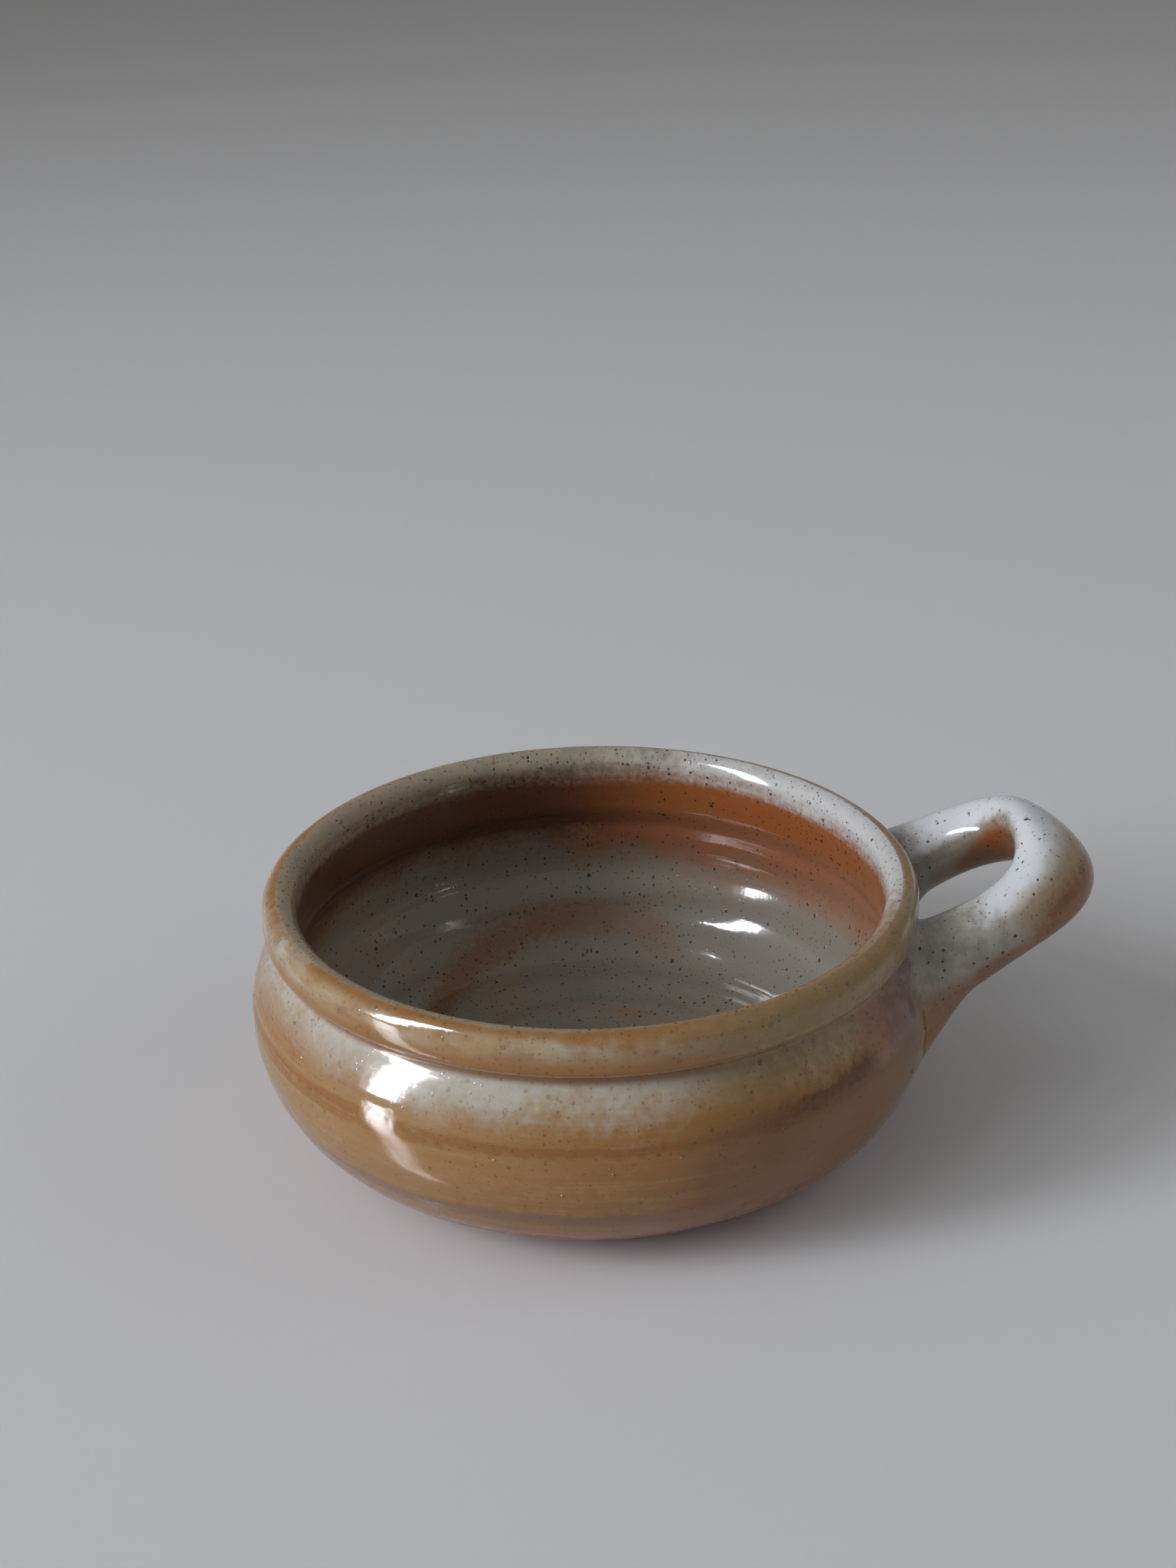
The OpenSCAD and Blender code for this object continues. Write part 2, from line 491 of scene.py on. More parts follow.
@dataclass(frozen=True)
class WallGlaze(Glaze):
    """The outside glaze: pale on the rim and shoulder, ochre with rust streaks on the belly."""

    edge_z: float = 8.0
    blush_h: float = 5.8
    haze_h: float = 7.8
    streak_z: float = 21.4
    line_z: float = 31.7
    drawn_z: float = 34.0
    shoulder_z: float = 37.5
    groove_z: float = 43.6
    rim_z: float = 45.4
    crest_z: float = 51.0
    crest_r: float = 62.7
    scorch_spot: Three = (43.5, -51.4, 34.8)
    root_spot: Three = (65.0, 23.0, 40.0)

    def dress(self) -> bpy.types.Material:
        """Makes the finish.

        Returns:
            The material.
        """
        s = Surface("wall_glaze")
        cloud = s.grain(1 / 17)
        long = s.grain(0.014, 0.014, 0.5, detail=3.0)
        mottle = s.grain(0.45, detail=5.0)
        brush = s.grain(0.045, 0.045, 1.9) * 0.65 + mottle * 0.9
        left = s.facing(-168).step(0.2, 0.85)
        # The left term lays more chalk on the side that faces the window: painted light.
        chalk_and_painted_light = cloud + mottle * 0.7 + s.facing(-112) * 0.35 + left * 0.7
        pale = s.washed(Tint.CREAM, (Tint.CHALK, chalk_and_painted_light.step(-0.5, 1.0)))
        flash_and_shade = (s.facing(-52) + cloud * 0.08 + mottle * 0.03).step(0.8, 0.98)
        height = s.z + cloud * 2.4 + long * 2.0 + mottle * 2.2 - left * 3.0 - flash_and_shade * 3.0
        height = height - s.facing(-75).step(0.6, 1.0) * 1.5 + s.facing(-125).step(0.85, 1.0) * 1.2
        shoulder = height.step(self.shoulder_z - 6, self.shoulder_z + 4)
        colour = s.washed(self.belly(s, cloud, long, brush, left), (pale, shoulder))
        colour = self.rim(s, colour, pale, cloud + mottle * 0.6)
        colour = self.flashed(s, colour, flash_and_shade, cloud, mottle)
        freckles = s.specks(1.9, 0.62, 0.7) * height.step(30, 37)
        colour = s.washed(colour, (Tint.UMBER, freckles * 0.3))
        iron = s.facing(95).step(-0.3, 0.6) * s.z.step(44, 48) * 0.6 + 0.4
        return self.seal(s, self.peppered(s, colour, iron))

    def belly(self, s: Surface, cloud: Term, long: Term, brush: Term, left: Term) -> Paint:
        """Colours the belly from the shoulder down to the lower edge of the glaze.

        Args:
            s: the material.
            cloud: slow noise.
            long: noise drawn out round the pot.
            brush: finer noise, drawn out less.
            left: how far a place lies on the side away from the ear.

        Returns:
            The colour.
        """
        drawn = long + brush * 0.5
        zone = abs(s.z - self.drawn_z).step(9.0, 4.5)
        line = s.ring(s.z + cloud * 0.8 + brush * 1.2, self.line_z, 1.5) * (1 - left * 0.65)
        low = s.z + cloud * 1.6 + brush * 0.9
        haze = s.ring(low, self.edge_z + self.haze_h, 2.4) * s.facing(-122).step(0.55, 0.95)
        return s.washed(
            Tint.OCHRE,
            (Tint.TAN, (drawn + cloud * 0.4 + brush * 0.4).step(-0.4, 1.2) * 0.75),
            # Painted light: more tan on the side that faces the window.
            (Tint.TAN, left * 0.35),
            (Tint.CREAM, drawn.step(-0.1, -0.6) * zone * left * 0.25),
            (Tint.OCHRE, drawn.step(-0.2, 0.25) * zone * left * 0.85),
            (Tint.RUST, drawn.step(0.05, 0.3) * zone * 0.25),
            (Tint.RUST, line * (drawn.step(-0.6, 0.3) * 0.45 + 0.25)),
            (Tint.RUST, (s.z + cloud * 3 + brush).step(26, 11) * 0.3),
            (Tint.PLUM, haze * 0.55),
            (Tint.RUST, haze * 0.2),
            (Tint.ROSE, low.step(self.edge_z + self.blush_h, self.edge_z + 0.5) * 0.9),
        )

    def flashed(self, s: Surface, colour: Paint, flash_and_shade: Term, cloud: Term, mottle: Term) -> Paint:
        """Reddens and darkens the side in front of the ear: partly the flame's flashing, partly
        painted shade on the side turned from the light.

        Args:
            s: the material.
            colour: the colour so far.
            flash_and_shade: how much the flame has touched a place, which is also where shade is
                painted.
            cloud: slow noise.
            mottle: fine noise.

        Returns:
            The colour with the flashing and the painted shade.
        """
        brown = s.washed(
            Tint.OLIVE,
            (Tint.TAN, (mottle + cloud * 0.5).step(-0.6, 1.0) * 0.8),
            (Tint.OCHRE, (s.z + mottle * 2).step(39, 35) * 0.6),
        )
        patchy = (mottle + cloud * 0.6).step(-0.8, 0.8)
        slant = s.z + cloud * 0.9 + mottle * 1.6 - s.facing(-40) * 13
        streak = s.ring(slant, self.streak_z, 2.3) * s.facing(-60).step(0.95, 0.985)
        streak = streak * (patchy * 0.6 + 0.4)
        colour = s.washed(
            colour,
            (brown, flash_and_shade * s.z.step(33, 38) * 0.72),
            # The umber and rust washes are partly the flashing's own colour, partly painted shade
            # on the side turned from the light.
            (Tint.UMBER, flash_and_shade * (s.z + cloud * 2).step(38, 32) * 0.42),
            (Tint.RUST, flash_and_shade * s.z.step(35, 24) * (patchy * 0.4 + 0.55)),
            (Tint.RUST, streak * 0.6),
            (Tint.MAROON, streak * s.facing(-48).step(0.9, 0.99) * 0.75),
            (Tint.UMBER, s.near(self.scorch_spot, 4.0, mottle * 2) * 0.45),
        )
        root = self.wiped(s)
        high = (s.z + mottle * 3).step(30, 38)
        x, y, z = self.root_spot
        for side in (-1, 1):
            # Under the ear's roots the wall is painted olive and rust brown: partly its own colour,
            # partly painted shade.
            shade = s.facing(side * 24).step(0.9, 0.98) * s.z.step(36, 28)
            about = s.near((x, side * y, z), 20.0, mottle * 3 + cloud * 3)
            colour = s.washed(
                colour,
                (Tint.OLIVE, shade * 0.6),
                (Tint.RUST, shade * 0.45),
                (root, about * high * 0.95),
            )
        return self.smudged(s, colour)

    def rim(self, s: Surface, colour: Paint, pale: Paint, rough: Term) -> Paint:
        """Colours the groove and the rolled rim, where the glaze breaks on the edges.

        Args:
            s: the material.
            colour: the colour so far.
            pale: the pale glaze.
            rough: noise for the uneven edges.

        Returns:
            The colour with the rim.
        """
        tanned = s.facing(-140).step(-1.0, 0.5) * 0.45 + 0.5
        thin = s.grain(0.07, 0.07, 0.4) + rough * 0.8
        blotch = s.grain(0.16, 0.16, 0.3, detail=4.0)
        burnt = self.burnt(s)
        on_rim, on_crest, out = s.z - self.rim_z, s.z - self.crest_z, s.r - self.crest_r
        face = s.washed(
            pale,
            (Tint.TAN, (thin + tanned).step(-0.3, 1.3) * 0.95),
            (Tint.RUST, blotch.step(-0.3, 0.6) * tanned * 0.6),
            (Tint.OLIVE, blotch.step(0.2, -0.6) * burnt * 0.6),
            (Tint.UMBER, rough.step(-0.2, 0.9) * burnt * 0.4),
            (Tint.OCHRE, (on_crest + thin).step(-1.4, 0.4) * burnt * 0.75),
        )
        edge = (on_rim + thin * 1.2).step(4.8, 1.0) * on_rim.step(-1.0, 0.2)
        top = on_crest.step(-0.6, 0.6)
        line = abs(out + thin * 0.6).step(1.8, 0.2) * top
        return s.washed(
            colour,
            # The rust line in the groove is partly the glaze's own rust, partly painted shade under
            # the rolled rim.
            (Tint.RUST, s.ring(s.z, self.groove_z, 1.9) * 0.85),
            (face, on_rim.step(-0.6, 0.6)),
            (Tint.OCHRE, edge * tanned),
            (Tint.RUST, edge * thin.step(-0.2, 0.7) * 0.4),
            (Tint.OCHRE, line * thin.step(-1.1, 0.3) * tanned),
            (self.lip(s), (out + thin * 0.7).step(-0.1, -1.7) * top),
        )


@dataclass(frozen=True)
class LinerGlaze(Glaze):
    """The inside glaze: grey-beige with iron specks, and a rust band under the rim."""

    band_top_z: float = 48.2
    band_low_z: float = 31.5
    trail_r: float = 18.6
    trail_shift: float = 38.0
    scrawl_spot: Three = (6.3, 62.2, 29.2)

    def dress(self) -> bpy.types.Material:
        """Makes the finish.

        Returns:
            The material.
        """
        s = Surface("liner_glaze")
        cloud = s.grain(1 / 15)
        fine = s.grain(0.8, detail=4.0)
        long = s.grain(0.025, 0.025, 0.45)
        # Painted light: the inside wall on the right faces the window, so it is painted less warm
        # (the facing term in warm) and paler (chalk laid by light).
        warm = (cloud + long * 0.8 + fine * 0.5 - s.facing(-10) * 0.4).step(-0.2, 1.2)
        light = (s.facing(10) + fine * 0.2).step(0.3, 1.1) * s.z.step(8, 16)
        colour = s.washed(Tint.STONE, (Tint.TAN, warm * 0.35), (Tint.CHALK, light * 0.1))
        colour = self.band(s, colour, cloud, long * 1.2 + fine)
        colour = self.lines(s, colour, cloud, fine)
        return self.seal(s, self.peppered(s, colour))

    def band(self, s: Surface, colour: Paint, cloud: Term, fine: Term) -> Paint:
        """Lays the rust band under the rim.

        Args:
            s: the material.
            colour: the colour so far.
            cloud: slow noise.
            fine: fine noise.

        Returns:
            The colour with the band and the lip.
        """
        # The band is painted darker, in maroon, on the back-left, which lies in shade: painted
        # shade. On the right, which faces the window, it turns orange and salmon: partly the band's
        # own orange, partly painted light.
        orange_and_painted_light = (s.facing(26) + cloud * 0.12).step(0.36, 0.9)
        painted_shade = (s.facing(130) + cloud * 0.3 + fine * 0.15).step(-0.2, 0.8)
        rust = s.washed(
            Tint.RUST,
            (Tint.MAROON, painted_shade * 0.9),
            (Tint.EMBER, orange_and_painted_light),
            (Tint.SALMON, orange_and_painted_light * (s.z + cloud * 3).step(42, 33) * 0.8),
        )
        low = s.z + cloud * 3.0 + fine * 2.2 + orange_and_painted_light * 6.5 + s.facing(178).step(0.75, 1.0) * 4.0
        top = s.z + cloud * 1.2 + fine * 1.8
        share = low.step(self.band_low_z - 6, self.band_low_z + 7)
        share = share * top.step(self.band_top_z + 3.2, self.band_top_z - 3.2)
        return s.washed(
            colour,
            (Tint.RUST, low.step(self.band_low_z - 11, self.band_low_z + 4) * 0.4),
            (self.lip(s), (s.z + fine * 1.5).step(44, 49)),
            (rust, share * 0.97),
        )

    def lines(self, s: Surface, colour: Paint, cloud: Term, fine: Term) -> Paint:
        """Lays the rust trail round the floor, the fingered spiral in it and one ochre scrawl.

        Args:
            s: the material.
            colour: the colour so far.
            cloud: slow noise.
            fine: fine noise.

        Returns:
            The colour with the lines.
        """
        aside = s.r - s.facing(85) * self.trail_shift - self.trail_r + cloud * 2.0 + fine * 2.6
        trail = abs(aside).step(6.0, 0.5) * s.z.step(18, 15)
        trail = trail * (s.facing(114) + cloud * 0.15).step(0.55, 0.95)
        scrawl = s.near(self.scrawl_spot, 7.0, s.grain(0.4, detail=4.0) * 7.0)
        spiral = (s.r * 0.7 + cloud * 3.0 + s.facing(30) * 2.0).wave() * 0.5 + s.grain(0.12) * 0.7
        floor = s.r.step(40, 26) * s.z.step(9, 7)
        return s.washed(
            colour,
            (Tint.RUST, trail * 0.75),
            (Tint.OCHRE, scrawl * 0.55),
            (Tint.OCHRE, (spiral + fine * 0.3).step(0.2, 0.9) * floor * 0.4),
        )


@dataclass(frozen=True)
class EarGlaze(Glaze):
    """The ear's glaze: white on top, grey-beige at the roots, rust where it runs thin."""

    sand_gap: float = 1.45
    grit_gap: float = 4.0
    ember_spot: Three = (87.0, 6.0, 48.0)

    def dress(self) -> bpy.types.Material:
        """Makes the finish.

        Returns:
            The material.
        """
        s = Surface("handle_glaze")
        cloud = s.grain(1 / 11)
        mottle = s.grain(0.45, detail=5.0)
        rough = cloud * 0.3 + mottle * 0.4
        out = s.x + cloud * 4 + mottle * 3
        turn = self.turned(s)
        top = (turn(100) + rough * 0.25).step(0.5, 0.85) * (out + s.y * 0.12).step(66, 76)
        side = (turn(25) + rough * 0.4).step(0.55, 1.0) * out.step(76, 88)
        edge = (turn(-5) + rough * 0.3).step(0.72, 0.98) * out.step(81, 91)
        line = (turn(-32) + rough * 0.25).step(0.78, 0.97)
        under = (turn(215) + rough * 0.3).step(0.6, 0.95) * out.step(72, 82)
        colour = s.washed(
            self.smudged(s, self.wiped(s)),
            (Tint.MILK, top * 0.95),
            (Tint.TAN, side * 0.7),
            (Tint.RUST, edge * 0.9),
            (Tint.ROSE, line * 0.5),
            (Tint.RUST, line * out.step(62, 76) * 0.7),
            (Tint.RUST, under * 0.85),
            (Tint.EMBER, s.near(self.ember_spot, 9.0, rough * 5) * 0.9),
            # The lower roots take the brown of the wall under the ear: partly their own olive
            # glaze, partly painted shade.
            (Tint.BROWN, (s.z + mottle * 3).step(38, 30) * out.step(80, 71)),
        )
        return self.seal(s, self.peppered(s, colour))

    @staticmethod
    def turned(s: Surface) -> Callable[[float], Term]:
        """Makes the test of how far a place faces one way across the strap.

        Args:
            s: the material, whose piece has the angle from the level in its map.

        Returns:
            A function of an angle above the level outside the loop, in degrees: 1 where a place
            faces that way, 0 a quarter turn from it.
        """
        parts = s.node("ShaderNodeSeparateXYZ", None, {0: Term(s, s.coords.outputs["UV"])})
        turn = Term(s, parts.outputs["Y"]) * TAU
        return lambda angle: (turn - math.radians(angle)).cosine()


@dataclass(frozen=True)
class BareClay:
    """Fired stoneware without glaze: reddish, matt, with fine grit and the marks of the wheel."""

    name: str
    tint: Tint
    roughness: float = 0.62

    def dress(self) -> bpy.types.Material:
        """Makes the finish.

        Returns:
            The material.
        """
        s = Surface(self.name)
        cloud = s.grain(1 / 12)
        grit = s.specks(1.1, 0.35, 0.5)
        drag = (s.r * 2.4 + cloud * 2.0).wave() * s.z.step(1.0, 0.2)
        colour = s.washed(
            self.tint,
            (Tint.UMBER, cloud.step(0.0, 1.2) * 0.35),
            (Tint.SLIP, s.grain(0.6).step(0.1, 0.6) * 0.35),
            (Tint.UMBER, grit * 0.5),
        )
        relief = grit * 0.05 + s.grain(1.6) * 0.03 + drag * 0.06
        return s.fire(s.skin(colour, s.grain(0.3) * 0.1 + self.roughness, relief))


@dataclass(frozen=True)
class Station:
    """One point of a thrown outline, with the direction out of the clay there."""

    r: float
    z: float
    out_r: float
    out_z: float
    skin: float = 1.0
    hem: float = 0.0


STATION_NUMBERS = tuple(number.name for number in fields(Station))


@dataclass
class BowlForm:
    """The thrown form: tangent arcs in the plane of radius and height, as in the frame."""

    belly_r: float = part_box("wall_glaze")[1].y
    height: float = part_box("wall_glaze")[1].z
    bare_h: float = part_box("wall_glaze")[0].z
    belly_z: float = 27.9 * MM
    foot_r: float = 43.0 * MM
    rim_r: float = 65.0 * MM
    rim_t: float = 6.6 * MM
    rim_h: float = 9.0 * MM
    groove_r: float = 1.5 * MM
    shoulder_r: float = 20.0 * MM
    wall_t: float = 5.0 * MM
    neck_r: float = 8.0 * MM
    glaze_t: float = 0.4 * MM
    step: float = 0.9 * MM
    fewest: int = 6
    floor_steps: int = 40
    foot_steps: int = 12

    def __post_init__(self) -> None:
        """Works out the arcs' centres and radii from the sizes."""
        self.clay_r = self.belly_r - self.glaze_t
        out = self.clay_r - self.foot_r
        self.lower_r = (out * out + self.belly_z * self.belly_z) / (2 * out)
        self.lip_r = self.rim_t / 2 - self.glaze_t
        self.clay_groove = self.groove_r + self.glaze_t
        lip_x = self.rim_r - self.rim_t / 2
        self.lower_c = Vector((self.clay_r - self.lower_r, self.belly_z))
        self.shoulder_c = Vector((self.clay_r - self.shoulder_r, self.belly_z))
        self.lip_top_c = Vector((lip_x, self.height - self.rim_t / 2))
        self.lip_low_c = Vector((lip_x, self.height - self.rim_h + self.rim_t / 2))
        self.groove_c = self.touching(self.shoulder_c, self.shoulder_r, self.lip_low_c, self.lip_r)
        neck_x = lip_x - self.lip_r + self.neck_r
        reach = self.shoulder_r - self.wall_t + self.neck_r
        rise = math.sqrt(reach ** 2 - (neck_x - self.shoulder_c.x) ** 2)
        self.neck_c = Vector((neck_x, self.belly_z + rise))
        self.skin_line = sorted((s.z, s.r) for s in self.outside(self.glaze_t, 0.0))

    def touching(self, a: Vector, a_r: float, b: Vector, b_r: float) -> Vector:
        """Finds the middle of the groove, which touches the shoulder and the rim.

        Args:
            a: the shoulder's centre.
            a_r: the shoulder's radius.
            b: the centre of the rim's lower round.
            b_r: the radius of that round.

        Returns:
            The groove's centre.
        """
        gap = (b - a).length
        from_a, from_b = a_r + self.clay_groove, b_r + self.clay_groove
        along = (from_a ** 2 - from_b ** 2 + gap ** 2) / (2 * gap)
        aside = math.sqrt(from_a ** 2 - along ** 2)
        way = (b - a) / gap
        return a + along * way + aside * Vector((way.y, -way.x))

    def arc(self, c: Vector, r: float, first: float, last: float, side: int = 1) -> List[Station]:
        """Places stations along an arc.

        Args:
            c: the arc's centre.
            r: its radius.
            first: the angle that it starts at.
            last: the angle that it ends at.
            side: 1 where the clay is on the centre's side, and -1 where it isn't.

        Returns:
            The stations, without the first.
        """
        count = max(self.fewest, math.ceil(abs(last - first) * r / self.step))
        made = []
        for i in range(1, count + 1):
            a = first + (last - first) * i / count
            way = Vector((math.cos(a), math.sin(a)))
            made.append(Station(*(c + r * way), *(side * way)))
        return made

    def outside(self, t: float, low: float) -> List[Station]:
        """Places stations up the outside.

        Args:
            t: the distance outside the clay.
            low: the height of the lowest one.

        Returns:
            The stations, from the lowest to the crest of the rim.
        """
        first = math.asin(max(-1.0, (low - self.belly_z) / (self.lower_r + t)))
        up = self.bearing(self.shoulder_c, self.groove_c)
        down = self.bearing(self.groove_c, self.lip_low_c)
        return [
            *self.arc(self.lower_c, self.lower_r + t, first, 0),
            *self.arc(self.shoulder_c, self.shoulder_r + t, 0, up),
            *self.arc(self.groove_c, self.clay_groove - t, up + math.pi, down, -1),
            *self.arc(self.lip_low_c, self.lip_r + t, down - math.pi, 0),
            *self.arc(self.lip_top_c, self.lip_r + t, 0, math.pi / 2),
        ]

    def inside(self, t: float) -> List[Station]:
        """Places stations down the inside.

        Args:
            t: the distance outside the clay.

        Returns:
            The stations, from the crest of the rim to the middle of the floor.
        """
        neck_end = self.bearing(self.neck_c, self.shoulder_c) + TAU
        floor_z = self.belly_z - self.lower_r + self.wall_t + t
        crest = Station(self.lip_top_c.x, self.height - self.glaze_t + t, 0.0, 1.0)
        shoulder_in, lower_in = (r - self.wall_t - t for r in (self.shoulder_r, self.lower_r))
        floor = self.disc(self.lower_c.x, floor_z, self.floor_steps, 1)
        return [
            crest,
            *self.arc(self.lip_top_c, self.lip_r + t, math.pi / 2, math.pi),
            *self.arc(self.neck_c, self.neck_r + t, math.pi, neck_end),
            *self.arc(self.shoulder_c, shoulder_in, neck_end - math.pi, 0, -1),
            *self.arc(self.lower_c, lower_in, 0, -math.pi / 2, -1),
            *floor,
        ]

    @staticmethod
    def disc(r: float, z: float, steps: int, up: int) -> List[Station]:
        """Places stations on a flat disc.

        Args:
            r: the disc's radius.
            z: its height.
            steps: the number of stations.
            up: 1 where the disc faces up, and -1 where it faces down.

        Returns:
            The stations, from inside the edge to the middle.
        """
        return [Station(r * (1 - i / steps), z, 0.0, float(up)) for i in range(1, steps + 1)]

    @staticmethod
    def bearing(a: Vector, b: Vector) -> float:
        """The direction of b seen from a, in radians."""
        return math.atan2(b.y - a.y, b.x - a.x)

    def skin_r(self, z: float) -> float:
        """Measures the glazed outside.

        Args:
            z: the height.

        Returns:
            The radius at that height.
        """
        line = self.skin_line
        if z <= line[0][0]:
            return line[0][1]
        for (z0, r0), (z1, r1) in zip(line, line[1:]):
            if z <= z1:
                return r1 if z1 == z0 else r0 + (r1 - r0) * (z - z0) / (z1 - z0)
        return line[-1][1]

    def wall_r(self, z: float) -> float:
        """The radius of the clay wall at a height below the groove."""
        r = self.lower_r if z < self.belly_z else self.shoulder_r
        return self.clay_r - r + math.sqrt(max(0.0, r * r - (z - self.belly_z) ** 2))


@dataclass(frozen=True)
class Ridge:
    """The finger ridges of throwing: their depth, their pitch and the turn they start at."""

    depth: float = 0.0
    pitch: float = 5.0 * MM
    start: float = 0.0


@dataclass
class Wheel:
    """Throws outlines: a geometry group turns each one round, with finger ridges and a wobble."""

    turns: int = 240
    wobble: float = 0.28 * MM
    hem_drift: float = 1.3 * MM
    seed: float = 4.0
    weld: float = 0.002 * MM
    still_r: float = 2.0 * MM
    ridged_r: float = 12.0 * MM
    patch_cells: float = 1.1
    patch_rise: float = 90.0
    sway_cells: float = 0.9
    sway_rise: float = 9.0
    sway_gain: float = 30.0
    drift_cells: float = 2.6
    drift_gain: float = 4.0

    def __post_init__(self) -> None:
        """Builds the geometry group."""
        self.group = bpy.data.node_groups.new("thrown_on_the_wheel", "GeometryNodeTree")
        given = open_group(self.group, "outline", "thrown", sizes_of(self, Ridge()))
        t = given["outline"].tree
        turn = t.term("Index", "GeometryNodeInputIndex") / given["turns"] * TAU
        stops = {"Resolution": given["turns"]}
        circle = t.term("Curve", "GeometryNodeCurvePrimitiveCircle", None, stops)
        marks = {"Geometry": circle, "Name": "turn", "Value": turn}
        path = t.term("Geometry", "GeometryNodeStoreNamedAttribute", None, marks)
        outline = t.term("Curve", "GeometryNodeMeshToCurve", None, {"Mesh": given["outline"]})
        sweep = {"Curve": path, "Profile Curve": outline}
        swept = t.term("Mesh", "GeometryNodeCurveToMesh", None, sweep)
        placed = {"Geometry": swept, "Position": self.spun(t, given)}
        thrown = t.term("Geometry", "GeometryNodeSetPosition", None, placed)
        merged = {"Geometry": thrown, "Distance": given["weld"]}
        thrown = t.term("Geometry", "GeometryNodeMergeByDistance", None, merged)
        close_group(t, thrown, given["finish"])

    @staticmethod
    def spun(t: Tree, given: Dict[str, Term]) -> Term:
        """Works out where each point of the outline goes.

        Args:
            t: the group's nodes.
            given: the group's inputs by name.

        Returns:
            The position.
        """

        def named(name: str) -> Term:
            """Reads one of the outline's own numbers."""
            return t.term("Attribute", "GeometryNodeInputNamedAttribute", None, {"Name": name})

        turn, station, r, z = (named(name) for name in ("turn", "station", "r", "z"))
        out_r, out_z, skin, hem = (named(name) for name in ("out_r", "out_z", "skin", "hem"))
        cos, sin, seed = turn.cosine(), turn.wave(), given["seed"]

        def noise(cells: Term, rise: Term) -> Term:
            """Smooth noise about zero, read along a circle of a size in cells, at a height."""
            where = t.combine(cos * cells, sin * cells, rise)
            inputs = {"Vector": where, "Scale": 1.0, "Detail": 1.0}
            return t.term("Fac", "ShaderNodeTexNoise", None, inputs) - 0.5

        phase = station / given["pitch"] * TAU + turn + given["start"]
        patchy = noise(given["patch_cells"], station * given["patch_rise"] + seed) * 1.2 + 0.8
        ridge = (phase.wave() * 0.5 + 0.5) * patchy * given["depth"]
        ridge = ridge * skin * r.step(given["still_r"], given["ridged_r"])
        sway = noise(given["sway_cells"], z * given["sway_rise"] + seed)
        sway = sway * given["wobble"] * r * given["sway_gain"]
        drift = noise(given["drift_cells"], seed * 3.0)
        drift = drift * given["hem_drift"] * given["drift_gain"] * hem
        new_r = r + out_r * ridge + sway - out_z * drift
        new_z = z + out_z * ridge + out_r * drift
        return t.combine(new_r * cos, new_r * sin, new_z)

    def throw(
        self,
        name: str,
        outline: List[Station],
        closed: bool,
        finish: bpy.types.Material,
        ridge: Ridge,
    ) -> bpy.types.Object:
        """Turns an outline into a piece.

        Args:
            name: the piece's name.
            outline: the stations, in order.
            closed: True where the last station joins the first.
            finish: the material.
            ridge: the finger ridges.

        Returns:
            The piece, as a plain mesh.
        """
        count = len(outline)
        edges = [(i, i + 1) for i in range(count - 1)] + ([(count - 1, 0)] if closed else [])
        mesh = bpy.data.meshes.new(name)
        mesh.from_pydata([(s.r, 0.0, s.z) for s in outline], edges, [])
        runs = [0.0]
        for a, b in zip(outline, outline[1:]):
            runs.append(runs[-1] + math.hypot(b.r - a.r, b.z - a.z))
        columns = {key: [getattr(s, key) for s in outline] for key in STATION_NUMBERS}
        columns["station"] = runs
        for key, values in columns.items():
            mesh.attributes.new(key, "FLOAT", "POINT").data.foreach_set("value", values)
        piece = link(name, mesh)
        bake_nodes(piece, self.group, finish, sizes_of(self, ridge))
        outward(piece)
        return piece


def sizes_of(*sources: object) -> Sizes:
    """The numbers in the fields of some dataclasses, by name."""
    return {item.name: getattr(source, item.name) for source in sources for item in fields(source)}


def open_group(
    group: bpy.types.NodeTree, shape: str, result: str, sizes: Sizes
) -> Dict[str, Term]:
    """Gives a geometry group its named inputs and its output.

    Args:
        group: the empty group.
        shape: the name of the geometry that it works on.
        result: the name of its output.
        sizes: the numbers that it takes, by name.

    Returns:
        The inputs as terms, by name, with the finish as the last.
    """
    kinds = {name: "Int" if isinstance(size, int) else "Float" for name, size in sizes.items()}
    for name, kind in {shape: "Geometry", **kinds, "finish": "Material"}.items():
        group.interface.new_socket(name, in_out="INPUT", socket_type="NodeSocket" + kind)
    group.interface.new_socket(result, in_out="OUTPUT", socket_type="NodeSocketGeometry")
    t = Tree(group)
    return {o.name: Term(t, o) for o in t.node("NodeGroupInput").outputs if o.name}


def close_group(t: Tree, shape: Term, finish: Term) -> None:
    """Ends a geometry group with smooth, plain, dressed geometry.

    Args:
        t: the group's nodes.
        shape: the geometry.
        finish: the material.
    """
    shape = t.term("Geometry", "GeometryNodeSetShadeSmooth", None, {"Geometry": shape})
    shape = t.term("Geometry", "GeometryNodeRealizeInstances", None, {"Geometry": shape})
    dressed = {"Geometry": shape, "Material": finish}
    shape = t.term("Geometry", "GeometryNodeSetMaterial", None, dressed)
    t.node("NodeGroupOutput", None, {0: shape})


def link(name: str, data: bpy.types.ID) -> bpy.types.Object:
    """Adds a mesh, a lamp or a camera to the scene.

    Args:
        name: the object's name.
        data: what the object holds.

    Returns:
        The object.
    """
    made = bpy.data.objects.new(name, data)
    bpy.context.scene.collection.objects.link(made)
    return made


